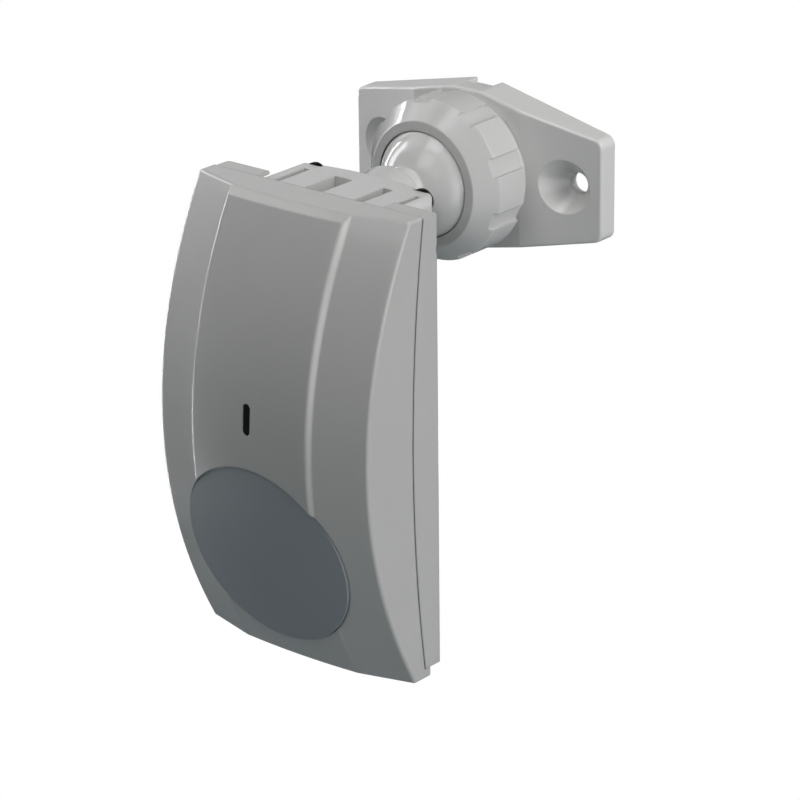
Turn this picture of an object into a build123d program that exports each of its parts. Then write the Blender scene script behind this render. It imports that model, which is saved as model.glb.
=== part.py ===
"""Passive infrared motion detector on a ball-joint wall bracket, in millimetres.

The origin is the centre of the wall plate's back face. The wall is the plane y = 0, the room
is on the -Y side, +X is to the right as seen from the room and +Z is up.
"""
import os
from math import atan2, cos, radians, sin, sqrt

from build123d import *

# Wall plate
plate_width = 78.8
plate_end_height = 26.1
plate_apex_height = 41.4
plate_apex_width = 9.2
plate_end_thickness = 5.35
plate_centre_thickness = 9.5
plate_land_width = 34.0
plate_corner_radius = 2.6
plate_edge_radius = 0.8
wall_hole_spacing = 60.6
wall_hole_radius = 2.75
dish_floor = 2.4
dish_floor_radius = 3.05
dish_half_angle = 40.0
cable_notch_width = 7.8
cable_notch_height = 1.3
cable_notch_depth = 4.5

# Ball joint
ball_offset = 19.5
ball_radius = 15.5
ball_clearance = 0.25
seat_thickness = 1.0
seat_half_angle = 48.0
spigot_wall = 1.7
spigot_overhang = 0.9
part_gap = 0.3

# Ring nut
nut_back = 12.0
nut_shoulder = 22.2
nut_front = 27.3
nut_radius = 20.9
nut_face_radius = 16.3
nut_lip_thickness = 1.9
nut_lip_clearance = 0.3
thread_clearance = 0.1
nut_cone_wall = 1.8
flute_count = 9
flute_phase = 19.5
flute_width = 4.8
flute_depth = 1.0
nut_edge_radius = 0.4

# Arm between the ball and the head
neck_radius = 6.0
neck_fillet = 0.7
core_radius = 3.6
boss_radius = 11.5
boss_drop = 3.3
boss_back = 38.2
boss_length = 8.8
boss_rim_radius = 1.4
boss_taper = 11.5
block_width = 43.6
block_height = 27.0
block_bow = 3.0
block_corner_radius = 2.3
block_end_radius = 2.4
block_insert = 4.4
block_end_reach = 12.6
block_pocket_front = 2.0
block_pocket_back = 9.7
block_pocket_depth = 6.0
block_pocket_walls = (-17.2, -7.2, 8.2, 18.3)
block_pocket_widths = (1.8, 5.7, 3.1, 1.5)
arm_screw_inset = 4.8
arm_screw_drop = 2.6
arm_screw_radius = 1.2
arm_screw_head_radius = 3.1
arm_screw_head_height = 2.0
arm_screw_length = 22.5
screw_boss_end = 1.0
screw_clearance = 0.05

# Head: cover and housing together
head_width = 66.8
head_height = 120.0
head_back = 61.6
head_drop = 50.9
wall = 2.0
edge_depth_top = 10.75
edge_depth_bottom = 10.25
front_bulge = 16.85
flank_rise = 4.0
band_foot_width = 38.4
band_wall_width = 1.0
band_step_top = 1.9
band_step_bottom = 0.25
band_crown = 0.8
section_count = 9
head_edge_radius = 0.8
head_corner_radius = 1.3
band_bevel = 1.8

# Seam between the cover and the housing
seam_depth_top = 6.0
seam_depth_middle = 10.6
seam_depth_bottom = 6.4
tongue_height = 1.5
tongue_inset = 1.1
seam_clearance = 0.12
seam_shadow_gap = 0.4
housing_floor_lift = 2.7
cover_hook_depth = 4.6
cover_hook_width = 5.0
cover_hook_grip = 2.5
cover_hook_thickness = 1.2
cover_hook_drop = 0.3
bottom_hook_gap = 0.15
bottom_hook_radius = 0.9

# Back of the housing
recess_clearance = 0.35
recess_wall = 1.8
top_step = 1.9
top_drop = 0.6
top_opening_width = 40.0
side_notch_radius = 2.4
side_notch_depth = 1.1
side_notch_drop = 9.5
knockout_radius = 4.0
knockout_groove = 1.2
knockout_groove_width = 0.8
knockout_spacing = 34.0
knockout_drop = 34.0
cable_slot_width = 14.0
cable_slot_height = 6.0
cable_slot_level = 9.0

# Lens
lens_radius = 25.0
lens_tilt = 13.8
lens_level = -28.5
lens_depth = 26.4
lens_sag = 2.2
lens_thickness = 1.0
lens_rim_height = 2.6
lens_rim_width = 1.3
lens_gap = 0.15
lens_spigot_radius = 22.2
lens_spigot_wall = 1.0
lens_edge_radius = 0.5
lens_seat_thickness = 2.0
lens_frame_radius = 27.2
retainer_thickness = 1.5
retainer_outer_radius = 25.2
retainer_clearance = 0.05

# Indicator window
slot_level = 8.85
slot_length = 8.1
slot_width = 2.4
slot_recess = 0.35
slot_clearance = 0.05
slot_flange = 1.2
slot_flange_thickness = 1.0
slot_seat_gap = 0.2

# Circuit board and what it carries
board_thickness = 1.6
board_depth = 10.0
board_margin = 2.2
board_top = 46.0
board_bottom = -45.5
board_corner_radius = 2.0
standoff_radius = 3.0
board_screw_radius = 1.2
board_screw_head_radius = 2.6
board_screw_head_height = 1.8
board_screw_length = 7.0
board_screw_level = 22.0
board_peg_radius = 1.4
board_peg_rise = 1.4
board_peg_level = -41.0
board_peg_spacing = 42.0
board_rest_level = 41.0
board_rest_spacing = 40.0
sensor_radius = 4.1
sensor_flange_radius = 4.65
sensor_flange_thickness = 0.5
sensor_height = 4.2
sensor_window = 3.8
sensor_window_recess = 0.2
collar_radius = 6.5
collar_height = 1.5
led_radius = 1.5
led_flange_radius = 1.9
led_flange_thickness = 1.0
led_body_length = 5.2
led_lead_spacing = 1.0
led_lead_radius = 0.3
led_window_gap = 0.6
terminal_pitch = 5.08
terminal_ways = 8
terminal_height = 9.0
terminal_width = 7.6
terminal_level = 36.0
terminal_screw_radius = 1.7
terminal_screw_height = 1.6
terminal_screw_sink = 0.6
terminal_slot_width = 0.6
terminal_slot_depth = 0.5
terminal_entry = 3.2
terminal_entry_depth = 4.5
terminal_entry_top = 5.6
relay_length = 20.0
relay_width = 10.0
relay_height = 10.5
relay_inset = 13.7
relay_level = 14.0
relay_edge = 0.7
chip_length = 10.2
chip_width = 7.4
chip_height = 2.4
chip_inset = 15.2
chip_level = 3.0
chip_pin_count = 8
chip_pin_pitch = 1.27
chip_pin_width = 0.42
chip_pin_reach = 1.4
chip_pin_thickness = 0.25
capacitor_radius = 3.15
capacitor_height = 7.0
capacitor_edge = 0.5
capacitor_spacing = 9.0
capacitor_inset = 9.2
capacitor_level = -4.0
header_pins = 3
header_pitch = 2.54
header_pin_width = 0.64
header_pin_height = 8.5
header_body_height = 2.5
header_inset = 8.2
header_level = -7.0
jumper_height = 6.0
jumper_clearance = 0.05
tamper_length = 9.0
tamper_width = 5.6
tamper_height = 5.0
tamper_inset = 9.2
tamper_level = 18.0
plunger_radius = 1.4
plunger_rise = 2.6
plunger_depth = 2.4
plunger_clearance = 0.08
plunger_travel = 0.6
tamper_post_radius = 2.2

# Cover screw at the bottom of the head
cover_screw_radius = 1.3
cover_screw_head_radius = 2.7
cover_screw_head_height = 1.6
cover_screw_length = 5.4
cover_screw_depth = 11.5
cover_screw_recess = 1.8
cover_boss_wall = 0.8
cover_boss_height = 3.8
cover_post_radius = 2.4
cover_post_height = 4.0

# Places that follow from the sizes above
ball_y = -ball_offset
seat_inner_radius = ball_radius + ball_clearance
seat_outer_radius = seat_inner_radius + seat_thickness
socket_radius = seat_outer_radius + ball_clearance
spigot_radius = socket_radius + spigot_wall
spigot_front = ball_offset + spigot_overhang
nut_bore_radius = spigot_radius + thread_clearance
head_back_y = -head_back
half_height = head_height / 2
half_width = head_width / 2
crest_half_width = band_foot_width / 2 - band_wall_width
block_top_level = half_height - top_step
block_bottom_level = block_top_level - block_height
arm_screw_level = block_top_level - arm_screw_drop
arm_screw_x = block_width / 2 - arm_screw_inset
board_front = board_depth + board_thickness
board_width = head_width - 2 * (wall + board_margin)
relay_x = relay_inset - board_width / 2
capacitor_x = capacitor_inset - board_width / 2
chip_x = board_width / 2 - chip_inset
header_x = board_width / 2 - header_inset
tamper_x = board_width / 2 - tamper_inset
cover_screw_seat = cover_screw_recess - half_height
hook_top = half_height - wall - cover_hook_drop
hook_web_back = seam_depth_top + tongue_height + part_gap


def at_depth(depth):
    """World y of a point that lies this far in front of the head's back face."""
    return head_back_y - depth


def at_level(level):
    """World z of a point at this height above the head's middle."""
    return level - head_drop


def edge_depth(level):
    """Depth of the head's side edge, which bows forward from both ends to the middle."""
    share = level / half_height
    mean = (edge_depth_top + edge_depth_bottom) / 2
    lean = (edge_depth_top - edge_depth_bottom) / 2
    return mean + lean * share + (1 - share * share) * front_bulge


def band_step(level):
    """Height of the raised band over the flanks, which fades towards the bottom."""
    share = (level + half_height) / head_height
    return band_step_bottom + (band_step_top - band_step_bottom) * share


def band_depth(level):
    """Depth of the band's crest on the head's middle line."""
    return edge_depth(level) + flank_rise + band_step(level) + band_crown


def flank_depth(x, level):
    """Depth of the flank's outer surface at this place."""
    share = (half_width - abs(x)) / (half_width - band_foot_width / 2)
    return edge_depth(level) + flank_rise * min(share, 1)


def head_form(inset, bottom_lift=0.0):
    """The head's closed outer form, moved inwards by a wall thickness."""
    top = half_height - inset
    bottom = inset - half_height + bottom_lift
    side = half_width - inset
    foot = band_foot_width / 2
    with BuildPart() as form:
        for index in range(section_count):
            level = bottom + (top - bottom) * index / (section_count - 1)
            edge = edge_depth(level) - inset
            flank = edge + flank_rise
            step = band_step(level)
            with BuildSketch(Plane.XY.offset(at_level(level))):
                with BuildLine():
                    Polyline(
                        (crest_half_width, at_depth(flank + step)),
                        (foot, at_depth(flank)),
                        (side, at_depth(edge)),
                        (side, at_depth(inset)),
                        (-side, at_depth(inset)),
                        (-side, at_depth(edge)),
                        (-foot, at_depth(flank)),
                        (-crest_half_width, at_depth(flank + step)),
                    )
                    ThreePointArc(
                        (-crest_half_width, at_depth(flank + step)),
                        (0, at_depth(flank + step + band_crown)),
                        (crest_half_width, at_depth(flank + step)),
                    )
                make_face()
        loft()
    return form.part


def seam_side(shift):
    """Everything behind the curved seam, moved forward by a distance."""
    reach = head_height
    with BuildPart() as side:
        with BuildSketch(Plane.YZ):
            with BuildLine():
                seam = ThreePointArc(
                    (at_depth(seam_depth_bottom + shift), at_level(-half_height)),
                    (at_depth(seam_depth_middle + shift), at_level(0)),
                    (at_depth(seam_depth_top + shift), at_level(half_height)),
                )
                Polyline(
                    seam @ 1,
                    (at_depth(seam_depth_top + shift), at_level(reach)),
                    (at_depth(-reach), at_level(reach)),
                    (at_depth(-reach), at_level(-reach)),
                    (at_depth(seam_depth_bottom + shift), at_level(-reach)),
                    seam @ 0,
                )
            make_face()
        extrude(amount=head_width, both=True)
    return side.part


# Planes of the lens and of the indicator slot, both square to the surface they sit in
lens_axis = (0, -cos(radians(lens_tilt)), -sin(radians(lens_tilt)))
lens_origin = (0, at_depth(lens_depth), at_level(lens_level))
lens_plane = Plane(origin=lens_origin, x_dir=(1, 0, 0), z_dir=lens_axis)
slot_rise = band_depth(slot_level + slot_length / 2) - band_depth(slot_level - slot_length / 2)
slot_lean = atan2(-slot_rise, slot_length)
slot_plane = Plane(
    origin=(0, at_depth(band_depth(slot_level)), at_level(slot_level)),
    x_dir=(1, 0, 0),
    z_dir=(0, -cos(slot_lean), sin(slot_lean)),
)
board_plane = Plane.XZ.offset(head_back + board_front)

# Outer form: rounded along its ends, its front edges and the band, bevelled at the band's top
sharp_form = head_form(0)
end_edges = sharp_form.edges().filter_by(
    lambda edge: abs(abs(edge.center().Z - at_level(0)) - half_height) < 0.01
)
long_edges = sharp_form.edges().filter_by(lambda edge: edge.length > head_height - 0.01)
front_edges = long_edges.filter_by(lambda edge: abs(abs(edge.center().X) - half_width) < 0.01)
crest_edges = long_edges.filter_by(lambda edge: abs(abs(edge.center().X) - crest_half_width) < 0.01)
rounded_edges = (end_edges + front_edges + crest_edges).filter_by(
    lambda edge: edge.center().Y < head_back_y - 0.01
)
rounded_form = fillet(rounded_edges, head_edge_radius)
rear_edges = rounded_form.edges().filter_by(
    lambda edge: abs(abs(edge.center().X) - half_width) + abs(edge.center().Y - head_back_y) < 0.01
)
crest_radius = (crest_half_width**2 + band_crown**2) / (2 * band_crown)
crest_top = band_depth(half_height)
crest_slope = (band_depth(half_height - band_bevel) - crest_top) / band_bevel
bevel_drop = band_bevel / sqrt(1 + crest_slope**2)
bevel_reach = band_bevel + crest_slope * bevel_drop
with BuildPart() as bevel_cone:
    with BuildSketch(Plane.YZ):
        with BuildLine():
            Polyline(
                (at_depth(crest_top - band_bevel), at_level(half_height)),
                (at_depth(crest_top - band_bevel), at_level(half_height + band_bevel)),
                (at_depth(crest_top - band_bevel + 2 * bevel_reach), at_level(half_height + band_bevel)),
                (at_depth(crest_top - band_bevel + 2 * bevel_reach), at_level(half_height - 2 * bevel_drop)),
                close=True,
            )
        make_face()
    revolve(axis=Axis((0, at_depth(crest_top - crest_radius), 0), (0, 0, 1)))
outer_form = fillet(rear_edges, head_corner_radius) - bevel_cone.part
cavity_form = head_form(wall)
tongue_form = head_form(tongue_inset)
groove_form = head_form(tongue_inset - seam_clearance)
behind_seam = seam_side(0)
behind_shadow = seam_side(-seam_shadow_gap)
behind_tongue = seam_side(tongue_height)
behind_groove = seam_side(tongue_height + seam_clearance)

# Wall plate: a six-sided plate with sloping wings and the threaded spigot of the ball joint
with BuildPart() as wall_plate:
    with BuildSketch(Plane.XZ) as plate_outline:
        with BuildLine():
            Polyline(
                (plate_width / 2, -plate_end_height / 2),
                (plate_width / 2, plate_end_height / 2),
                (plate_apex_width / 2, plate_apex_height / 2),
                (-plate_apex_width / 2, plate_apex_height / 2),
                (-plate_width / 2, plate_end_height / 2),
                (-plate_width / 2, -plate_end_height / 2),
                (-plate_apex_width / 2, -plate_apex_height / 2),
                (plate_apex_width / 2, -plate_apex_height / 2),
                close=True,
            )
        make_face()
        fillet(plate_outline.vertices(), plate_corner_radius)
    extrude(amount=plate_centre_thickness)
    with BuildSketch(Plane.XY.offset(-plate_apex_height)):
        with BuildLine():
            Polyline(
                (plate_width / 2, 0),
                (plate_width / 2, -plate_end_thickness),
                (plate_land_width / 2, -plate_centre_thickness),
                (-plate_land_width / 2, -plate_centre_thickness),
                (-plate_width / 2, -plate_end_thickness),
                (-plate_width / 2, 0),
                close=True,
            )
        make_face()
    extrude(amount=2 * plate_apex_height, mode=Mode.INTERSECT)
    front_faces = wall_plate.faces().filter_by(lambda face: face.normal_at().Y < -0.9)
    creases = wall_plate.edges().filter_by(Axis.Z).filter_by(
        lambda edge: abs(edge.center().Y + plate_centre_thickness) < 0.01
    )
    fillet(front_faces.edges() - creases, plate_edge_radius)
    with BuildSketch(Plane.XZ.offset(dish_floor)):
        Circle(spigot_radius)
    extrude(amount=spigot_front - dish_floor)
    with Locations((0, ball_y, 0)):
        Sphere(socket_radius, mode=Mode.SUBTRACT)
    with BuildSketch(Plane.XZ.offset(ball_offset)):
        Circle(socket_radius)
    extrude(amount=spigot_front, mode=Mode.SUBTRACT)
    for side in (-1, 1):
        with BuildSketch(Plane.XZ.offset(dish_floor)):
            with Locations((side * wall_hole_spacing / 2, 0)):
                Circle(dish_floor_radius)
        extrude(amount=plate_centre_thickness - dish_floor, taper=-dish_half_angle, mode=Mode.SUBTRACT)
    with BuildSketch(Plane.XZ):
        with Locations((-wall_hole_spacing / 2, 0), (wall_hole_spacing / 2, 0)):
            Circle(wall_hole_radius)
    extrude(amount=plate_centre_thickness, mode=Mode.SUBTRACT)
    with BuildSketch(Plane.XZ):
        with Locations((0, plate_apex_height / 2)):
            Rectangle(cable_notch_width, 2 * cable_notch_height)
    extrude(amount=cable_notch_depth, mode=Mode.SUBTRACT)
wall_plate.part.label = "wall_plate"

# Ring nut: a fluted grip with a conical nose whose lip holds the ball
lip_radius = ball_radius + nut_lip_clearance
lip_back = nut_front - nut_lip_thickness
lip_front_opening = sqrt(lip_radius**2 - (nut_front - ball_offset) ** 2)
lip_back_opening = sqrt(lip_radius**2 - (lip_back - ball_offset) ** 2)
lip_middle = (nut_front + lip_back) / 2
lip_middle_opening = sqrt(lip_radius**2 - (lip_middle - ball_offset) ** 2)
cone_inner_front = nut_face_radius - nut_cone_wall + (nut_radius - nut_face_radius) * nut_lip_thickness / (
    nut_front - nut_shoulder
)
cone_inner_back = nut_shoulder - nut_cone_wall / 2
with BuildPart() as ring_nut:
    with BuildSketch(Plane.XY):
        with BuildLine():
            nose = Polyline(
                (lip_back_opening, -lip_back),
                (cone_inner_front, -lip_back),
                (nut_bore_radius, -cone_inner_back),
                (nut_bore_radius, -nut_back),
                (nut_radius, -nut_back),
                (nut_radius, -nut_shoulder),
                (nut_face_radius, -nut_front),
                (lip_front_opening, -nut_front),
            )
            ThreePointArc(nose @ 1, (lip_middle_opening, -lip_middle), nose @ 0)
        make_face()
    revolve(axis=Axis.Y)
    rims = ring_nut.edges().filter_by(GeomType.CIRCLE).filter_by(
        lambda edge: edge.radius > nut_face_radius - 0.1 and abs(edge.radius - nut_bore_radius) > 0.1
    )
    fillet(rims.filter_by(lambda edge: edge.center().Y < -nut_front + 0.1 or edge.radius > nut_radius - 0.1),
           nut_edge_radius)
    with BuildSketch(Plane.XZ.offset(nut_back)):
        with PolarLocations(nut_radius, flute_count, start_angle=flute_phase):
            Rectangle(2 * flute_depth, flute_width)
    extrude(amount=nut_front - nut_back, mode=Mode.SUBTRACT)
ring_nut.part.label = "ring_nut"

# Friction ring: the wedge that the nut's cone presses on the ball
ring_back = spigot_front + part_gap
ring_front = lip_back - part_gap
ring_inner_back = sqrt(seat_inner_radius**2 - (ring_back - ball_offset) ** 2)
ring_inner_front = sqrt(seat_inner_radius**2 - (ring_front - ball_offset) ** 2)
ring_middle = (ring_back + ring_front) / 2
ring_inner_middle = sqrt(seat_inner_radius**2 - (ring_middle - ball_offset) ** 2)
cone_slope = (nut_bore_radius - cone_inner_front) / (lip_back - cone_inner_back)
ring_outer_front = cone_inner_front + cone_slope * part_gap - part_gap
ring_outer_back = min(nut_bore_radius - part_gap, ring_outer_front + cone_slope * (ring_front - cone_inner_back))
with BuildPart() as friction_ring:
    with BuildSketch(Plane.XY):
        with BuildLine():
            wedge = Polyline(
                (ring_inner_front, -ring_front),
                (ring_outer_front, -ring_front),
                (ring_outer_back, -cone_inner_back),
                (ring_outer_back, -ring_back),
                (ring_inner_back, -ring_back),
            )
            ThreePointArc(wedge @ 1, (ring_inner_middle, -ring_middle), wedge @ 0)
        make_face()
    revolve(axis=Axis.Y)
friction_ring.part.label = "friction_ring"

# Ball seat: the thin cup between the ball and the socket
seat_rim = radians(seat_half_angle)
with BuildPart() as ball_seat:
    with BuildSketch(Plane.XY):
        with BuildLine():
            cup = ThreePointArc(
                (0, ball_y + seat_outer_radius),
                (seat_outer_radius * sin(seat_rim / 2), ball_y + seat_outer_radius * cos(seat_rim / 2)),
                (seat_outer_radius * sin(seat_rim), ball_y + seat_outer_radius * cos(seat_rim)),
            )
            lining = ThreePointArc(
                (seat_inner_radius * sin(seat_rim), ball_y + seat_inner_radius * cos(seat_rim)),
                (seat_inner_radius * sin(seat_rim / 2), ball_y + seat_inner_radius * cos(seat_rim / 2)),
                (0, ball_y + seat_inner_radius),
            )
            Line(cup @ 1, lining @ 0)
            Line(lining @ 1, cup @ 0)
        make_face()
    revolve(axis=Axis.Y)
ball_seat.part.label = "ball_seat"

# Ball arm: ball, neck, boss and the bowed block that plugs into the housing, one moulding
block_front_y = at_depth(block_insert)
block_end_y = at_depth(-block_end_reach)
block_middle_y = block_end_y + block_bow
block_bow_radius = (block_width**2 / 4 + block_bow**2) / (2 * block_bow)
screw_outer_x = min(arm_screw_x + arm_screw_head_radius, block_width / 2)
screw_seat_y = block_middle_y - block_bow_radius + sqrt(block_bow_radius**2 - screw_outer_x**2)
with BuildPart() as ball_arm:
    with BuildSketch(Plane.XY.offset(at_level(block_bottom_level))) as block_plan:
        with BuildLine():
            bow = ThreePointArc(
                (-block_width / 2, block_end_y), (0, block_middle_y), (block_width / 2, block_end_y)
            )
            Polyline(bow @ 1, (block_width / 2, block_front_y), (-block_width / 2, block_front_y), bow @ 0)
        make_face()
        fillet(block_plan.vertices(), block_corner_radius)
    extrude(amount=block_height)
    with BuildSketch(Plane.XZ.offset(boss_back)):
        with Locations((0, at_level(block_top_level - block_height / 2))):
            RectangleRounded(block_width, block_height, block_end_radius)
    extrude(amount=head_back - boss_back + block_insert, mode=Mode.INTERSECT)
    with BuildSketch(Plane.XY.offset(at_level(block_top_level))):
        for wall_x, width in zip(block_pocket_walls, block_pocket_widths):
            with Locations((wall_x + width / 2, at_depth((block_pocket_front - block_pocket_back) / 2))):
                Rectangle(width, block_pocket_front + block_pocket_back)
    extrude(amount=-block_pocket_depth, mode=Mode.SUBTRACT)
    with BuildSketch(Plane.XZ.offset(boss_back)):
        with Locations((0, -boss_drop)):
            Circle(boss_radius)
    extrude(amount=boss_length, taper=boss_taper)
    boss_rim = ball_arm.edges().filter_by(GeomType.CIRCLE).filter_by(
        lambda edge: abs(edge.radius - boss_radius) < 0.01 and edge.center().Y > -boss_back - 0.01
    )
    fillet(boss_rim, boss_rim_radius)
    with BuildSketch(Plane.XZ.offset(ball_offset)):
        Circle(neck_radius)
    extrude(amount=boss_back - ball_offset)
    with Locations((0, ball_y, 0)):
        Sphere(ball_radius)
    neck_rings = ball_arm.edges().filter_by(GeomType.CIRCLE).filter_by(
        lambda edge: abs(edge.radius - neck_radius) < 0.01 and edge.center().Y > -boss_back - 0.01
    )
    fillet(neck_rings, neck_fillet)
    with BuildSketch(Plane.XZ):
        Circle(core_radius)
    extrude(amount=boss_back, mode=Mode.SUBTRACT)
    with BuildSketch(Plane.XZ.offset(boss_back)):
        with Locations((-arm_screw_x, at_level(arm_screw_level)), (arm_screw_x, at_level(arm_screw_level))):
            Circle(arm_screw_radius + screw_clearance)
    extrude(amount=head_back - boss_back + block_insert, mode=Mode.SUBTRACT)
    with BuildSketch(Plane.XZ.offset(-screw_seat_y)):
        with Locations((-arm_screw_x, at_level(arm_screw_level)), (arm_screw_x, at_level(arm_screw_level))):
            Circle(arm_screw_head_radius + part_gap)
    extrude(amount=-block_bow, mode=Mode.SUBTRACT)
ball_arm.part.label = "ball_arm"

# Arm screws: their heads stand on spot faces in the bowed back of the block
with BuildPart() as arm_screws:
    for side in (-1, 1):
        with BuildSketch(Plane.XZ.offset(-screw_seat_y)):
            with Locations((side * arm_screw_x, at_level(arm_screw_level))):
                Circle(arm_screw_head_radius)
        extrude(amount=-arm_screw_head_height)
        with BuildSketch(Plane.XZ.offset(-screw_seat_y)):
            with Locations((side * arm_screw_x, at_level(arm_screw_level))):
                Circle(arm_screw_radius)
        extrude(amount=arm_screw_length)
    head_rims = arm_screws.edges().filter_by(GeomType.CIRCLE).filter_by(
        lambda edge: edge.center().Y > screw_seat_y + arm_screw_head_height - 0.01
    )
    fillet(head_rims, arm_screw_head_height / 2)
arm_screws.part.label = "arm_screws"

# Rear housing: a tray whose rim follows the seam, with a recess for the arm's block
recess_width = block_width + 2 * recess_clearance
recess_bottom = block_bottom_level - recess_clearance
recess_top = block_top_level + recess_clearance
hood_width = recess_width + 2 * recess_wall
hood_bottom = recess_bottom - recess_wall
hood_depth = block_insert + recess_wall
screw_tip_depth = arm_screw_length - (screw_seat_y - head_back_y)
screw_boss_radius = arm_screw_drop - screw_clearance
housing_bottom = housing_floor_lift - half_height
floor_front = seam_depth_bottom + tongue_height
side_notch_y = at_depth(side_notch_depth - side_notch_radius)
board_pegs = [(side * board_peg_spacing / 2, at_level(board_peg_level)) for side in (-1, 1)]
board_rests = [(side * board_rest_spacing / 2, at_level(board_rest_level)) for side in (-1, 1)]
housing_shell = (outer_form & behind_shadow) + (tongue_form & behind_tongue)
with BuildPart() as rear_housing:
    add(housing_shell)
    add(cavity_form, mode=Mode.SUBTRACT)
    with BuildSketch(Plane.XZ.offset(head_back)):
        with Locations((0, at_level((hood_bottom + half_height - wall / 2) / 2))):
            Rectangle(hood_width, half_height - wall / 2 - hood_bottom)
    extrude(amount=hood_depth)
    with BuildSketch(Plane.XZ.offset(head_back)):
        with Locations((0, at_level((recess_bottom + recess_top) / 2))):
            Rectangle(recess_width, recess_top - recess_bottom)
    extrude(amount=block_insert, mode=Mode.SUBTRACT)
    with BuildSketch(Plane.XZ.offset(head_back)):
        with Locations((0, at_level(half_height))):
            Rectangle(top_opening_width, 2 * top_step)
            Rectangle(head_width, 2 * top_drop)
    extrude(amount=seam_depth_middle + tongue_height, mode=Mode.SUBTRACT)
    with BuildSketch(Plane.XZ.offset(head_back)):
        with Locations((0, at_level(-half_height))):
            Rectangle(head_width, 2 * housing_floor_lift)
    extrude(amount=seam_depth_middle + tongue_height, mode=Mode.SUBTRACT)
    with BuildSketch(Plane.XZ.offset(head_back)):
        with Locations((0, at_level(housing_bottom + wall / 2))):
            Rectangle(head_width - 2 * tongue_inset, wall)
    extrude(amount=floor_front)
    with BuildSketch(Plane.XZ.offset(head_back + block_insert)):
        with Locations((-arm_screw_x, at_level(arm_screw_level)), (arm_screw_x, at_level(arm_screw_level))):
            Circle(screw_boss_radius)
    extrude(amount=screw_tip_depth + screw_boss_end - block_insert)
    with BuildSketch(Plane.XZ.offset(head_back)):
        with Locations((-arm_screw_x, at_level(arm_screw_level)), (arm_screw_x, at_level(arm_screw_level))):
            Circle(arm_screw_radius + screw_clearance)
    extrude(amount=screw_tip_depth + screw_clearance, mode=Mode.SUBTRACT)
    with BuildSketch(Plane.XZ.offset(head_back + block_insert + recess_wall / 2)):
        with Locations(*board_rests):
            Circle(standoff_radius)
    extrude(amount=board_depth - block_insert - recess_wall / 2)
    with BuildSketch(Plane.XZ.offset(head_back + wall / 2)):
        with Locations((0, at_level(board_screw_level)), *board_pegs):
            Circle(standoff_radius)
    extrude(amount=board_depth - wall / 2)
    with BuildSketch(Plane.XZ.offset(head_back + board_depth)):
        with Locations(*board_pegs):
            Circle(board_peg_radius)
    extrude(amount=board_thickness + board_peg_rise)
    with BuildSketch(Plane.XZ.offset(head_back + board_front)):
        with Locations((0, at_level(board_screw_level))):
            Circle(board_screw_radius + screw_clearance)
    extrude(amount=-board_screw_length - screw_clearance, mode=Mode.SUBTRACT)
    with BuildSketch(Plane.XZ.offset(head_back + wall / 2)):
        with Locations((0, at_level(housing_bottom + wall - part_gap + cover_post_height / 2))):
            Rectangle(2 * cover_post_radius, cover_post_height)
    extrude(amount=cover_screw_depth + cover_post_radius - wall / 2)
    with BuildSketch(Plane.XY.offset(at_level(cover_screw_seat))):
        with Locations((0, at_depth(cover_screw_depth))):
            Circle(cover_screw_radius + screw_clearance)
    extrude(amount=cover_screw_length + screw_clearance, mode=Mode.SUBTRACT)
    with BuildSketch(Plane.XZ.offset(head_back)):
        with Locations((0, at_level(cable_slot_level))):
            SlotOverall(cable_slot_width, cable_slot_height)
    extrude(amount=wall, mode=Mode.SUBTRACT)
    with BuildSketch(Plane.XZ.offset(head_back)):
        for side in (-1, 1):
            with Locations((side * knockout_spacing / 2, at_level(-knockout_drop))):
                Circle(knockout_radius)
                Circle(knockout_radius - knockout_groove_width, mode=Mode.SUBTRACT)
    extrude(amount=knockout_groove, mode=Mode.SUBTRACT)
    for side in (-1, 1):
        with BuildSketch(Plane.YZ.offset(side * half_width)):
            with Locations((side_notch_y, at_level(half_height - side_notch_drop))):
                Circle(side_notch_radius)
        extrude(amount=-side * (wall + part_gap), mode=Mode.SUBTRACT)
rear_housing.part.label = "rear_housing"

# Front cover: the bowed shell, its lens frame, screw boss, top hooks and tamper post
lens_frame_depth = lens_rim_height + lens_seat_thickness
bottom_hook_height = housing_floor_lift - bottom_hook_gap
cover_shell = outer_form - behind_seam
tamper_post_foot = board_front + tamper_height + plunger_rise + part_gap
tamper_post_top = flank_depth(tamper_x, tamper_level) - wall / 2
with BuildPart() as lens_frame:
    with BuildSketch(lens_plane.offset(-lens_frame_depth)):
        Circle(lens_frame_radius)
    extrude(amount=lens_frame_depth + head_height)
lens_frame_solid = lens_frame.part & outer_form
with BuildPart() as bottom_hook:
    with BuildSketch(Plane.XZ.offset(head_back + cover_hook_depth)):
        with Locations((0, at_level(-half_height + bottom_hook_height / 2))):
            Rectangle(head_width, bottom_hook_height)
    extrude(amount=seam_depth_middle)
    fillet(bottom_hook.edges().group_by(Axis.Y)[-1].sort_by(Axis.Z)[0], bottom_hook_radius)
bottom_hook_solid = bottom_hook.part & outer_form
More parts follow.
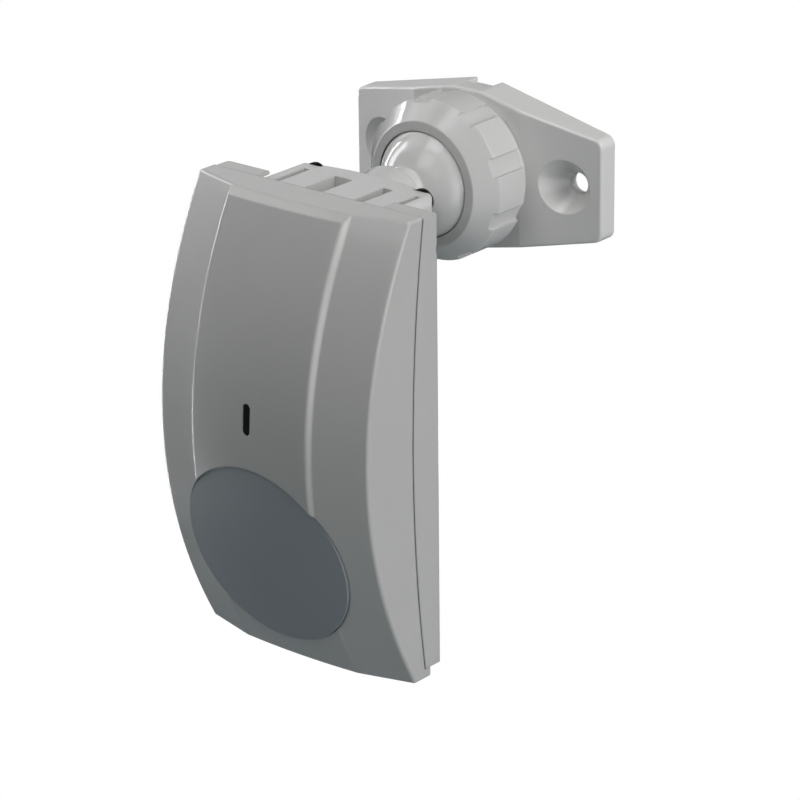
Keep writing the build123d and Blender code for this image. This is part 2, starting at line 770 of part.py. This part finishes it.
with BuildPart() as front_cover:
    add(cover_shell)
    add(cavity_form, mode=Mode.SUBTRACT)
    add(groove_form & behind_groove, mode=Mode.SUBTRACT)
    add(bottom_hook_solid)
    add(lens_frame_solid)
    with BuildSketch(lens_plane.offset(-lens_rim_height)):
        Circle(lens_radius + lens_gap)
    extrude(amount=head_height, mode=Mode.SUBTRACT)
    with BuildSketch(lens_plane.offset(-lens_frame_depth)):
        Circle(lens_spigot_radius + lens_gap)
    extrude(amount=head_height, mode=Mode.SUBTRACT)
    with BuildSketch(slot_plane.offset(wall)):
        SlotOverall(slot_length, slot_width, rotation=90)
    extrude(amount=-3 * wall, mode=Mode.SUBTRACT)
    with BuildSketch(Plane.XY.offset(at_level(-half_height))):
        with Locations((0, at_depth(cover_screw_depth))):
            Circle(cover_screw_head_radius + cover_boss_wall)
    extrude(amount=cover_boss_height)
    with BuildSketch(Plane.XY.offset(at_level(-half_height))):
        with Locations((0, at_depth(cover_screw_depth))):
            Circle(cover_screw_head_radius + part_gap / 2)
    extrude(amount=cover_screw_seat + half_height, mode=Mode.SUBTRACT)
    with BuildSketch(Plane.XY.offset(at_level(-half_height))):
        with Locations((0, at_depth(cover_screw_depth))):
            Circle(cover_screw_radius + screw_clearance)
    extrude(amount=cover_boss_height, mode=Mode.SUBTRACT)
    with BuildSketch(Plane.XZ.offset(head_back + tamper_post_foot)):
        with Locations((tamper_x, at_level(tamper_level))):
            Circle(tamper_post_radius)
    extrude(amount=tamper_post_top - tamper_post_foot)
    for side in (-1, 1):
        hook_x = side * (half_width - wall - part_gap - cover_hook_width / 2)
        with BuildSketch(Plane.YZ.offset(hook_x)):
            with BuildLine():
                Polyline(
                    (at_depth(seam_depth_top - cover_hook_grip), at_level(hook_top)),
                    (at_depth(hook_web_back), at_level(hook_top)),
                    (at_depth(hook_web_back), at_level(half_height - wall / 2)),
                    (at_depth(hook_web_back + wall), at_level(half_height - wall / 2)),
                    (at_depth(hook_web_back + wall), at_level(hook_top - cover_hook_thickness)),
                    (at_depth(seam_depth_top - cover_hook_grip), at_level(hook_top - cover_hook_thickness)),
                    close=True,
                )
            make_face()
        extrude(amount=cover_hook_width / 2, both=True)
front_cover.part.label = "front_cover"

# Lens window: a shallow round dome with a deep rim and a spigot through the frame
lens_curve = (lens_radius**2 + lens_sag**2) / (2 * lens_sag)
rim_inner = lens_radius - lens_rim_width
spigot_inner = lens_spigot_radius - lens_spigot_wall
spigot_end = -(lens_frame_depth + retainer_thickness)
with BuildPart() as lens_hollow:
    with BuildSketch(lens_plane.offset(spigot_end)):
        Circle(rim_inner)
        Circle(lens_spigot_radius, mode=Mode.SUBTRACT)
        Circle(spigot_inner)
    extrude(amount=lens_sag - spigot_end)
    with Locations(lens_plane.offset(lens_sag - lens_thickness - lens_curve)):
        Sphere(lens_curve, rotation=(0, 90, 0), mode=Mode.INTERSECT)
with BuildPart() as lens_window:
    with BuildSketch(lens_plane.offset(-lens_rim_height)):
        Circle(lens_radius)
    extrude(amount=lens_rim_height + lens_sag)
    with BuildSketch(lens_plane.offset(spigot_end)):
        Circle(lens_spigot_radius)
    extrude(amount=-spigot_end)
    with Locations(lens_plane.offset(lens_sag - lens_curve)):
        Sphere(lens_curve, rotation=(0, 90, 0), mode=Mode.INTERSECT)
    add(lens_hollow.part, mode=Mode.SUBTRACT)
    lens_edge = lens_window.edges().filter_by(GeomType.CIRCLE).filter_by(
        lambda edge: abs(edge.radius - lens_radius) < 0.01
    ).sort_by(Axis.Y)[0]
    fillet(lens_edge, lens_edge_radius)
lens_window.part.label = "lens_window"

# Lens retainer: a flat ring pushed over the lens spigot behind the frame
with BuildPart() as lens_retainer:
    with BuildSketch(lens_plane.offset(spigot_end)):
        Circle(retainer_outer_radius)
        Circle(lens_spigot_radius + retainer_clearance, mode=Mode.SUBTRACT)
    extrude(amount=retainer_thickness)
lens_retainer.part.label = "lens_retainer"

# Indicator window: a flanged oblong plug set a little below the cover's surface
with BuildPart() as led_window:
    with BuildSketch(slot_plane.offset(-slot_recess)):
        SlotOverall(slot_length - 2 * slot_clearance, slot_width - 2 * slot_clearance, rotation=90)
    extrude(amount=-(wall + slot_seat_gap - slot_recess))
    with BuildSketch(slot_plane.offset(-wall - slot_seat_gap)):
        SlotOverall(slot_length + 2 * slot_flange, slot_width + 2 * slot_flange, rotation=90)
    extrude(amount=-slot_flange_thickness)
led_window.part.label = "led_window"

# Circuit board
with BuildPart() as circuit_board:
    with BuildSketch(Plane.XZ.offset(head_back + board_depth)):
        with Locations((0, at_level((board_top + board_bottom) / 2))):
            RectangleRounded(board_width, board_top - board_bottom, board_corner_radius)
        with Locations((0, at_level(board_screw_level))):
            Circle(board_screw_radius + screw_clearance, mode=Mode.SUBTRACT)
        with Locations(*board_pegs):
            Circle(board_peg_radius + screw_clearance, mode=Mode.SUBTRACT)
    extrude(amount=board_thickness)
circuit_board.part.label = "circuit_board"

# Board screw
with BuildPart() as board_screw:
    with BuildSketch(board_plane):
        with Locations((0, at_level(board_screw_level))):
            Circle(board_screw_head_radius)
    extrude(amount=board_screw_head_height)
    fillet(board_screw.edges().sort_by(Axis.Y)[0], board_screw_head_height / 2)
    with BuildSketch(board_plane):
        with Locations((0, at_level(board_screw_level))):
            Circle(board_screw_radius)
    extrude(amount=-board_screw_length)
board_screw.part.label = "board_screw"

# Collar and infrared sensor behind the lens
with BuildPart() as sensor_collar:
    with BuildSketch(board_plane):
        with Locations((0, at_level(lens_level))):
            Circle(collar_radius)
    extrude(amount=collar_height)
    chamfer(sensor_collar.edges().sort_by(Axis.Y)[0], collar_height / 3)
sensor_collar.part.label = "sensor_collar"

with BuildPart() as pyro_sensor:
    with BuildSketch(board_plane.offset(collar_height)):
        with Locations((0, at_level(lens_level))):
            Circle(sensor_flange_radius)
    extrude(amount=sensor_flange_thickness)
    with BuildSketch(board_plane.offset(collar_height)):
        with Locations((0, at_level(lens_level))):
            Circle(sensor_radius)
    extrude(amount=sensor_height)
    fillet(pyro_sensor.edges().sort_by(Axis.Y)[0], sensor_window_recess)
    with BuildSketch(board_plane.offset(collar_height + sensor_height)):
        with Locations((0, at_level(lens_level))):
            Rectangle(sensor_window, sensor_window)
    extrude(amount=-sensor_window_recess, mode=Mode.SUBTRACT)
pyro_sensor.part.label = "pyro_sensor"

# Indicator lamp on its two leads, behind the oblong window
lamp_tip = band_depth(slot_level) - wall - slot_seat_gap - slot_flange_thickness - led_window_gap
lamp_foot = lamp_tip - led_body_length
with BuildPart() as indicator_led:
    with BuildSketch(Plane.XZ.offset(head_back + lamp_foot)):
        with Locations((0, at_level(slot_level))):
            Circle(led_flange_radius)
    extrude(amount=led_flange_thickness)
    with BuildSketch(Plane.XZ.offset(head_back + lamp_foot)):
        with Locations((0, at_level(slot_level))):
            Circle(led_radius)
    extrude(amount=led_body_length)
    fillet(indicator_led.edges().sort_by(Axis.Y)[0], led_radius * 0.9)
    with BuildSketch(board_plane):
        for side in (-1, 1):
            with Locations((side * led_lead_spacing, at_level(slot_level))):
                Circle(led_lead_radius)
    extrude(amount=lamp_foot - board_front)
indicator_led.part.label = "indicator_led"

# Terminal block with its clamp screws
terminal_length = terminal_ways * terminal_pitch
terminal_bore_depth = terminal_screw_height + terminal_screw_sink
terminal_xs = [(way - (terminal_ways - 1) / 2) * terminal_pitch for way in range(terminal_ways)]
with BuildPart() as terminal_block:
    with BuildSketch(Plane.YZ):
        with BuildLine():
            Polyline(
                (at_depth(board_front), at_level(terminal_level - terminal_width / 2)),
                (at_depth(board_front), at_level(terminal_level + terminal_width / 2)),
                (at_depth(board_front + terminal_entry_top), at_level(terminal_level + terminal_width / 2)),
                (at_depth(board_front + terminal_height), at_level(terminal_level + terminal_width / 3)),
                (at_depth(board_front + terminal_height), at_level(terminal_level - terminal_width / 3)),
                (at_depth(board_front + terminal_entry_top), at_level(terminal_level - terminal_width / 2)),
                close=True,
            )
        make_face()
    extrude(amount=terminal_length / 2, both=True)
    with BuildSketch(board_plane.offset(terminal_height)):
        for way_x in terminal_xs:
            with Locations((way_x, at_level(terminal_level))):
                Circle(terminal_screw_radius + screw_clearance)
    extrude(amount=-terminal_bore_depth, mode=Mode.SUBTRACT)
    with BuildSketch(Plane.XY.offset(at_level(terminal_level + terminal_width / 2))):
        for way_x in terminal_xs:
            with Locations((way_x, at_depth(board_front + terminal_entry))):
                Rectangle(terminal_entry, terminal_entry)
    extrude(amount=-terminal_entry_depth, mode=Mode.SUBTRACT)
terminal_block.part.label = "terminal_block"

with BuildPart() as terminal_screws:
    with BuildSketch(board_plane.offset(terminal_height - terminal_bore_depth)):
        for way_x in terminal_xs:
            with Locations((way_x, at_level(terminal_level))):
                Circle(terminal_screw_radius)
    extrude(amount=terminal_screw_height)
    with BuildSketch(board_plane.offset(terminal_height - terminal_screw_sink)):
        for way_x in terminal_xs:
            with Locations((way_x, at_level(terminal_level))):
                Rectangle(2 * terminal_screw_radius, terminal_slot_width)
    extrude(amount=-terminal_slot_depth, mode=Mode.SUBTRACT)
terminal_screws.part.label = "terminal_screws"

# Alarm relay
with BuildPart() as alarm_relay:
    with BuildSketch(board_plane):
        with Locations((relay_x, at_level(relay_level))):
            Rectangle(relay_length, relay_width)
    extrude(amount=relay_height)
    fillet(alarm_relay.edges().filter_by(Axis.Y) + alarm_relay.faces().sort_by(Axis.Y)[0].edges(), relay_edge)
alarm_relay.part.label = "alarm_relay"

# Control chip with gull-wing pins along both long sides
chip_lift = chip_pin_thickness
with BuildPart() as control_chip:
    with BuildSketch(board_plane.offset(chip_lift)):
        with Locations((chip_x, at_level(chip_level))):
            Rectangle(chip_width, chip_length)
    extrude(amount=chip_height)
    for side in (-1, 1):
        edge_x = chip_x + side * chip_width / 2
        tip_x = edge_x + side * chip_pin_reach
        knee_x = edge_x + side * chip_pin_reach / 2
        leg_x = knee_x + side * chip_pin_thickness
        shoulder = board_front + chip_lift + chip_height / 2
        for pin in range(chip_pin_count):
            pin_level = chip_level + (pin - (chip_pin_count - 1) / 2) * chip_pin_pitch
            with BuildSketch(Plane.XY.offset(at_level(pin_level) - chip_pin_width / 2)):
                with BuildLine():
                    Polyline(
                        (edge_x - side * chip_pin_thickness, at_depth(shoulder)),
                        (leg_x, at_depth(shoulder)),
                        (leg_x, at_depth(board_front + chip_pin_thickness)),
                        (tip_x, at_depth(board_front + chip_pin_thickness)),
                        (tip_x, at_depth(board_front)),
                        (knee_x, at_depth(board_front)),
                        (knee_x, at_depth(shoulder - chip_pin_thickness)),
                        (edge_x - side * chip_pin_thickness, at_depth(shoulder - chip_pin_thickness)),
                        close=True,
                    )
                make_face()
            extrude(amount=chip_pin_width)
control_chip.part.label = "control_chip"

# Capacitors: two cans side by side
with BuildPart() as capacitors:
    with BuildSketch(board_plane):
        for index in range(2):
            with Locations((capacitor_x + index * capacitor_spacing, at_level(capacitor_level))):
                Circle(capacitor_radius)
    extrude(amount=capacitor_height)
    fillet(capacitors.faces().group_by(Axis.Y)[0].edges(), capacitor_edge)
capacitors.part.label = "capacitors"

# Mode header and the jumper cap on two of its pins
jumper_socket = header_pin_width + 2 * jumper_clearance
header_xs = [header_x + (pin - (header_pins - 1) / 2) * header_pitch for pin in range(header_pins)]
with BuildPart() as header_strip:
    with BuildSketch(board_plane):
        with Locations((header_x, at_level(header_level))):
            Rectangle(header_pins * header_pitch, header_pitch)
    extrude(amount=header_body_height)
    with BuildSketch(board_plane.offset(header_body_height)):
        for pin_x in header_xs:
            with Locations((pin_x, at_level(header_level))):
                Rectangle(header_pin_width, header_pin_width)
    extrude(amount=header_pin_height - header_body_height)
header_strip.part.label = "header_strip"

with BuildPart() as jumper_cap:
    with BuildSketch(board_plane.offset(header_body_height)):
        with Locations(((header_xs[0] + header_xs[1]) / 2, at_level(header_level))):
            Rectangle(2 * header_pitch - part_gap, header_pitch - part_gap)
        for pin_x in header_xs[:2]:
            with Locations((pin_x, at_level(header_level))):
                Rectangle(jumper_socket, jumper_socket, mode=Mode.SUBTRACT)
    extrude(amount=jumper_height)
jumper_cap.part.label = "jumper_cap"

# Tamper switch and its sprung plunger, held down by the post inside the cover
tamper_top = board_front + tamper_height
with BuildPart() as tamper_switch:
    with BuildSketch(board_plane):
        with Locations((tamper_x, at_level(tamper_level))):
            Rectangle(tamper_width, tamper_length)
    extrude(amount=tamper_height)
    with BuildSketch(board_plane.offset(tamper_height)):
        with Locations((tamper_x, at_level(tamper_level))):
            Circle(plunger_radius + plunger_clearance)
    extrude(amount=-plunger_depth - plunger_travel - part_gap, mode=Mode.SUBTRACT)
tamper_switch.part.label = "tamper_switch"

with BuildPart() as tamper_plunger:
    with BuildSketch(Plane.XZ.offset(head_back + tamper_top - plunger_depth)):
        with Locations((tamper_x, at_level(tamper_level))):
            Circle(plunger_radius)
    extrude(amount=plunger_depth + plunger_rise)
    fillet(tamper_plunger.edges().sort_by(Axis.Y)[0], plunger_radius / 2)
tamper_plunger.part.label = "tamper_plunger"

# Cover screw, driven up through the cover's bottom into the housing's post
with BuildPart() as cover_screw:
    with BuildSketch(Plane.XY.offset(at_level(cover_screw_seat))):
        with Locations((0, at_depth(cover_screw_depth))):
            Circle(cover_screw_head_radius)
    extrude(amount=-cover_screw_head_height)
    fillet(cover_screw.edges().sort_by(Axis.Z)[0], cover_screw_head_height / 3)
    with BuildSketch(Plane.XY.offset(at_level(cover_screw_seat))):
        with Locations((0, at_depth(cover_screw_depth))):
            Circle(cover_screw_radius)
    extrude(amount=cover_screw_length)
cover_screw.part.label = "cover_screw"

pieces = (
    wall_plate,
    ring_nut,
    friction_ring,
    ball_seat,
    ball_arm,
    arm_screws,
    rear_housing,
    front_cover,
    lens_window,
    lens_retainer,
    led_window,
    circuit_board,
    board_screw,
    sensor_collar,
    pyro_sensor,
    indicator_led,
    terminal_block,
    terminal_screws,
    alarm_relay,
    control_chip,
    capacitors,
    header_strip,
    jumper_cap,
    tamper_switch,
    tamper_plunger,
    cover_screw,
)
os.makedirs("parts", exist_ok=True)
for piece in pieces:
    export_step(piece.part, "parts/" + piece.part.label + ".step")
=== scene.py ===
"""Looks of the motion detector: camera, lamps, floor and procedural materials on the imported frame.

Lengths are in metres and lamp powers in watts. The wall is the plane y = 0, and the head faces -y.
"""
import math

import bpy
from mathutils import Matrix, Vector

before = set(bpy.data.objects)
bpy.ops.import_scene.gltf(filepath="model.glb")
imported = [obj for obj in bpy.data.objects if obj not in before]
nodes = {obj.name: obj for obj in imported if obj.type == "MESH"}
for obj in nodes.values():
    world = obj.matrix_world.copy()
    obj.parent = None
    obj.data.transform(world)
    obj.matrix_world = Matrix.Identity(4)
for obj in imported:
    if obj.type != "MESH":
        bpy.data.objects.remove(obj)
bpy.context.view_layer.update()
scene = bpy.context.scene

# Camera, as fitted to the photograph
CAMERA_PLACE = Vector((0.56963, -0.71848, 0.29363))
CAMERA_AZIMUTH = 39.88
CAMERA_ELEVATION = 21.41
CAMERA_ROLL = -0.66
FOCAL_PIXELS = 3777.6
IMAGE_PIXELS = 800
SENSOR_WIDTH = 36


def camera_matrix(place, azimuth, elevation, roll):
    """World matrix of a camera that looks down by an elevation and is turned about its own line of sight."""
    a, e, r = (math.radians(value) for value in (azimuth, elevation, roll))
    back = Vector((math.sin(a) * math.cos(e), -math.cos(a) * math.cos(e), math.sin(e)))
    right = Vector((math.cos(a), math.sin(a), 0))
    up = back.cross(right)
    turned_right = right * math.cos(r) + up * math.sin(r)
    turned_up = up * math.cos(r) - right * math.sin(r)
    turn = Matrix((turned_right, turned_up, back)).transposed().to_4x4()
    return Matrix.Translation(place) @ turn


camera_data = bpy.data.cameras.new("camera")
camera_data.lens = FOCAL_PIXELS / IMAGE_PIXELS * SENSOR_WIDTH
camera_data.sensor_width = SENSOR_WIDTH
camera_data.clip_end = 20
camera = bpy.data.objects.new("camera", camera_data)
camera.matrix_world = camera_matrix(CAMERA_PLACE, CAMERA_AZIMUTH, CAMERA_ELEVATION, CAMERA_ROLL)
scene.collection.objects.link(camera)
scene.camera = camera

# Lamps: name, place, width, height and power
HEAD = (0, -0.05, -0.05)
BRACKET = (0, -0.01, 0)
head_lamps = (
    ("right_top", (0.96, 0.07, 0.67), 0.6, 0.6, 5.2),
    ("right", (1.19, 0.01, 0.07), 0.6, 0.6, 4.3),
    ("right_back", (0.94, 0.66, 0.19), 0.6, 0.6, 0.7),
    ("back", (0.11, 1.08, 0.34), 0.6, 0.6, 2.3),
    ("left_back", (-0.92, 0.64, 0.29), 0.6, 0.6, 0.5),
    ("front_top", (0, -0.9, 0.8), 0.6, 0.6, 2.2),
    ("front_left", (-0.92, -0.62, 0.1), 0.03, 0.8, 0.35),
    ("front_right", (0.52, -1.0, 0.15), 0.03, 1.1, 0.6),
)
bracket_lamps = (
    ("bracket_left", (-0.38, -0.11, 0.12), 0.08, 0.3, 0.5),
    ("bracket_corner", (-0.3, -0.1, 0.3), 0.2, 0.2, 0.14),
    ("bracket_top", (0, -0.11, 0.4), 0.2, 0.2, 0.34),
)
# These give only highlights: on the lens, on the band's left edge and on its right slope
glint_lamps = (
    ("lens_glint", (-0.92, -0.62, -0.3), 0.03, 0.8, 1.2),
    ("left_edge_glint", (-1.1, 0.08, -0.12), 0.03, 1.2, 4.0),
    ("slope_glint", (0.95, -0.45, -0.2), 0.25, 0.9, 1.2),
)


def softbox(name, place, aim, width, height, watts):
    """A rectangular area lamp at a place, turned to a point."""
    data = bpy.data.lights.new(name, "AREA")
    data.shape = "RECTANGLE"
    data.size = width
    data.size_y = height
    data.energy = watts
    lamp = bpy.data.objects.new(name, data)
    lamp.location = place
    lamp.rotation_euler = (Vector(aim) - Vector(place)).to_track_quat("-Z", "Y").to_euler()
    scene.collection.objects.link(lamp)
    return lamp


lamp_groups = ((head_lamps, HEAD, True), (bracket_lamps, BRACKET, True), (glint_lamps, HEAD, False))
for lamps, aim, diffuse in lamp_groups:
    for name, place, width, height, watts in lamps:
        lamp = softbox(name, place, aim, width, height, watts)
        lamp.visible_diffuse = diffuse

# Surroundings
SKY_COLOUR = (0.8, 0.95, 1, 1)
SKY_ABOVE = 0.06
SKY_BELOW = 0.02


def sky(above, below):
    """World shader: a faint light that fades from straight up to straight down, white to the camera."""
    world = bpy.data.worlds.new("world")
    scene.world = world
    world.use_nodes = True
    tree = world.node_tree
    tree.nodes.clear()
    output = tree.nodes.new("ShaderNodeOutputWorld")
    mix = tree.nodes.new("ShaderNodeMixShader")
    ambient = tree.nodes.new("ShaderNodeBackground")
    ambient.inputs["Color"].default_value = SKY_COLOUR
    white = tree.nodes.new("ShaderNodeBackground")
    white.inputs["Color"].default_value = (1, 1, 1, 1)
    place = tree.nodes.new("ShaderNodeTexCoord")
    axes = tree.nodes.new("ShaderNodeSeparateXYZ")
    fade = tree.nodes.new("ShaderNodeMapRange")
    fade.inputs["From Min"].default_value = -1
    fade.inputs["To Min"].default_value = below
    fade.inputs["To Max"].default_value = above
    path = tree.nodes.new("ShaderNodeLightPath")
    tree.links.new(place.outputs["Generated"], axes.inputs[0])
    tree.links.new(axes.outputs["Z"], fade.inputs["Value"])
    tree.links.new(fade.outputs["Result"], ambient.inputs["Strength"])
    tree.links.new(path.outputs["Is Camera Ray"], mix.inputs["Fac"])
    tree.links.new(ambient.outputs["Background"], mix.inputs[1])
    tree.links.new(white.outputs["Background"], mix.inputs[2])
    tree.links.new(mix.outputs["Shader"], output.inputs["Surface"])


sky(SKY_ABOVE, SKY_BELOW)
scene.view_settings.view_transform = "Standard"

# Materials
PLASTIC_IOR = 1.49
COAT_ROUGHNESS = 0.08
CLOUD_SCALE = 60
GRAIN_DEPTH = 0.00005
RIPPLE_SCALE = 160
RIPPLE_DEPTH = 0.0002
BEVEL_SAMPLES = 6
DOME_MESH_SAG = 0.00004


def plastic(
    name, colour, roughness, grain=0.0, grain_size=0.0004, coat=0.0, spread=0.02, soft=0.0, ripple=0.0
):
    """Moulded plastic: an uneven tint and gloss, a fine grain, a faint ripple and softened edges."""
    material = bpy.data.materials.new(name)
    material.use_nodes = True
    tree = material.node_tree
    shader = tree.nodes["Principled BSDF"]
    shader.inputs["IOR"].default_value = PLASTIC_IOR
    shader.inputs["Coat Weight"].default_value = coat
    shader.inputs["Coat Roughness"].default_value = COAT_ROUGHNESS
    place = tree.nodes.new("ShaderNodeTexCoord")
    cloud = tree.nodes.new("ShaderNodeTexNoise")
    cloud.inputs["Scale"].default_value = CLOUD_SCALE
    cloud.inputs["Detail"].default_value = 3
    tree.links.new(place.outputs["Object"], cloud.inputs["Vector"])
    tint = tree.nodes.new("ShaderNodeMix")
    tint.data_type = "RGBA"
    tint.inputs["A"].default_value = [c * (1 - spread) for c in colour] + [1]
    tint.inputs["B"].default_value = [min(c * (1 + spread), 1) for c in colour] + [1]
    tree.links.new(cloud.outputs["Fac"], tint.inputs["Factor"])
    tree.links.new(tint.outputs["Result"], shader.inputs["Base Color"])
    gloss = tree.nodes.new("ShaderNodeMapRange")
    gloss.inputs["To Min"].default_value = roughness * 0.9
    gloss.inputs["To Max"].default_value = roughness * 1.1
    tree.links.new(cloud.outputs["Fac"], gloss.inputs["Value"])
    tree.links.new(gloss.outputs["Result"], shader.inputs["Roughness"])
    normal = None
    if soft:
        edge = tree.nodes.new("ShaderNodeBevel")
        edge.samples = BEVEL_SAMPLES
        edge.inputs["Radius"].default_value = soft
        normal = edge.outputs["Normal"]
    relief = ((1 / grain_size, grain, GRAIN_DEPTH), (RIPPLE_SCALE, ripple, RIPPLE_DEPTH))
    for scale, strength, depth in relief:
        if strength:
            noise = tree.nodes.new("ShaderNodeTexNoise")
            noise.inputs["Scale"].default_value = scale
            noise.inputs["Detail"].default_value = 2
            tree.links.new(place.outputs["Object"], noise.inputs["Vector"])
            bump = tree.nodes.new("ShaderNodeBump")
            bump.inputs["Strength"].default_value = strength
            bump.inputs["Distance"].default_value = depth
            tree.links.new(noise.outputs["Fac"], bump.inputs["Height"])
            if normal:
                tree.links.new(normal, bump.inputs["Normal"])
            normal = bump.outputs["Normal"]
    if normal:
        tree.links.new(normal, shader.inputs["Normal"])
    return material


def round_dome(material, centre, radius):
    """Gives a grained material the true normal of a sphere wherever the surface lies on that sphere."""
    tree = material.node_tree
    place = tree.nodes.new("ShaderNodeTexCoord")
    arm = tree.nodes.new("ShaderNodeVectorMath")
    arm.operation = "SUBTRACT"
    arm.inputs[1].default_value = centre
    length = tree.nodes.new("ShaderNodeVectorMath")
    length.operation = "LENGTH"
    outside = tree.nodes.new("ShaderNodeMath")
    outside.operation = "GREATER_THAN"
    outside.inputs[1].default_value = radius - DOME_MESH_SAG
    turn = tree.nodes.new("ShaderNodeVectorTransform")
    turn.vector_type = "NORMAL"
    turn.convert_from = "OBJECT"
    turn.convert_to = "WORLD"
    surface = tree.nodes.new("ShaderNodeNewGeometry")
    choice = tree.nodes.new("ShaderNodeMix")
    choice.data_type = "VECTOR"
    tree.links.new(place.outputs["Object"], arm.inputs[0])
    tree.links.new(arm.outputs["Vector"], length.inputs[0])
    tree.links.new(length.outputs["Value"], outside.inputs[0])
    tree.links.new(arm.outputs["Vector"], turn.inputs["Vector"])
    tree.links.new(outside.outputs["Value"], choice.inputs["Factor"])
    tree.links.new(surface.outputs["Normal"], choice.inputs["A"])
    tree.links.new(turn.outputs["Vector"], choice.inputs["B"])
    for bump in tree.nodes:
        if bump.type == "BUMP":
            tree.links.new(choice.outputs["Result"], bump.inputs["Normal"])
    return material


def metal(name, colour, roughness):
    """Metal with fine turning marks and an uneven polish."""
    material = plastic(name, colour, roughness, grain=0.3, grain_size=0.0003, spread=0.06, soft=0.0002)
    material.node_tree.nodes["Principled BSDF"].inputs["Metallic"].default_value = 1
    return material


bracket_look = plastic(
    "bracket_plastic", (0.645, 0.64, 0.63), 0.2, grain=0.04, coat=0.3, soft=0.0004, ripple=0.02
)
# The wall plate uses the bracket's plastic painted lighter: painted light that brightens the plate's front
# face
plate_look_painted_lighter = plastic(
    "plate_plastic_painted_lighter", (0.76, 0.755, 0.74), 0.22, grain=0.05, coat=0.3, soft=0.0004, ripple=0.02
)
housing_look = plastic(
    "housing_plastic", (0.555, 0.552, 0.54), 0.26,
    grain=0.1, grain_size=0.0003, coat=0.3, soft=0.0008, ripple=0.02,
)
nylon = plastic("nylon", (0.62, 0.6, 0.55), 0.4, grain=0.2)
black_screw = metal("black_screw", (0.02, 0.02, 0.02), 0.35)
dark_plastic = plastic("dark_plastic", (0.02, 0.02, 0.02), 0.35, grain=0.3)
plated_steel = metal("plated", (0.65, 0.65, 0.66), 0.25)

# The lens and the sphere of its dome, whose axis leans down by the cover's slope
LENS_TILT = math.radians(13.8)
LENS_RADIUS = 0.025
LENS_SAG = 0.0022
LENS_PLACE = Vector((0, -0.088, -0.0794))
lens_axis = Vector((0, -math.cos(LENS_TILT), -math.sin(LENS_TILT)))
dome_radius = (LENS_RADIUS**2 + LENS_SAG**2) / (2 * LENS_SAG)
dome_centre = LENS_PLACE + lens_axis * (LENS_SAG - dome_radius)
lens_look = round_dome(plastic("lens", (0.335, 0.365, 0.39), 0.4, grain=0.08), dome_centre, dome_radius)

looks = {
    "wall_plate": plate_look_painted_lighter,
    "ring_nut": bracket_look,
    "ball_arm": bracket_look,
    "friction_ring": nylon,
    "ball_seat": nylon,
    "tamper_plunger": nylon,
    "rear_housing": housing_look,
    "front_cover": housing_look,
    "arm_screws": black_screw,
    "cover_screw": black_screw,
    "board_screw": plated_steel,
    "terminal_screws": plated_steel,
    "lens_window": lens_look,
    "led_window": plastic("smoked", (0.004, 0.004, 0.005), 0.08, coat=1.0),
    "circuit_board": plastic("laminate", (0.02, 0.12, 0.04), 0.35, grain=0.4, grain_size=0.0008),
    "pyro_sensor": metal("can", (0.7, 0.68, 0.62), 0.25),
    "indicator_led": plastic("lamp", (0.5, 0.03, 0.02), 0.1, coat=1.0),
    "terminal_block": plastic("terminal", (0.03, 0.25, 0.08), 0.3, grain=0.2),
    "capacitors": metal("capacitor", (0.75, 0.75, 0.78), 0.3),
    "lens_retainer": dark_plastic,
    "sensor_collar": dark_plastic,
    "alarm_relay": dark_plastic,
    "control_chip": dark_plastic,
    "header_strip": dark_plastic,
    "jumper_cap": dark_plastic,
    "tamper_switch": dark_plastic,
}
for name, piece in nodes.items():
    piece.data.materials.clear()
    piece.data.materials.append(looks[name])

# Floor, well below the hanging head: white to the camera, pale to the object
FLOOR_LEVEL = -0.8
FLOOR_REACH = 3.0
FLOOR_COLOUR = (0.55, 0.62, 0.66, 1)
corners = [(x * FLOOR_REACH, y * FLOOR_REACH, 0) for x, y in ((-1, -1), (1, -1), (1, 1), (-1, 1))]
floor_mesh = bpy.data.meshes.new("floor")
floor_mesh.from_pydata(corners, [], [(0, 1, 2, 3)])
floor = bpy.data.objects.new("floor", floor_mesh)
floor.location = (0, 0, FLOOR_LEVEL)
scene.collection.objects.link(floor)
floor_look = bpy.data.materials.new("floor")
floor_look.use_nodes = True
tree = floor_look.node_tree
shader = tree.nodes["Principled BSDF"]
shader.inputs["Base Color"].default_value = FLOOR_COLOUR
shader.inputs["Roughness"].default_value = 0.6
glow = tree.nodes.new("ShaderNodeEmission")
blend = tree.nodes.new("ShaderNodeMixShader")
path = tree.nodes.new("ShaderNodeLightPath")
tree.links.new(path.outputs["Is Camera Ray"], blend.inputs["Fac"])
tree.links.new(shader.outputs["BSDF"], blend.inputs[1])
tree.links.new(glow.outputs["Emission"], blend.inputs[2])
tree.links.new(blend.outputs["Shader"], tree.nodes["Material Output"].inputs["Surface"])
floor_mesh.materials.append(floor_look)
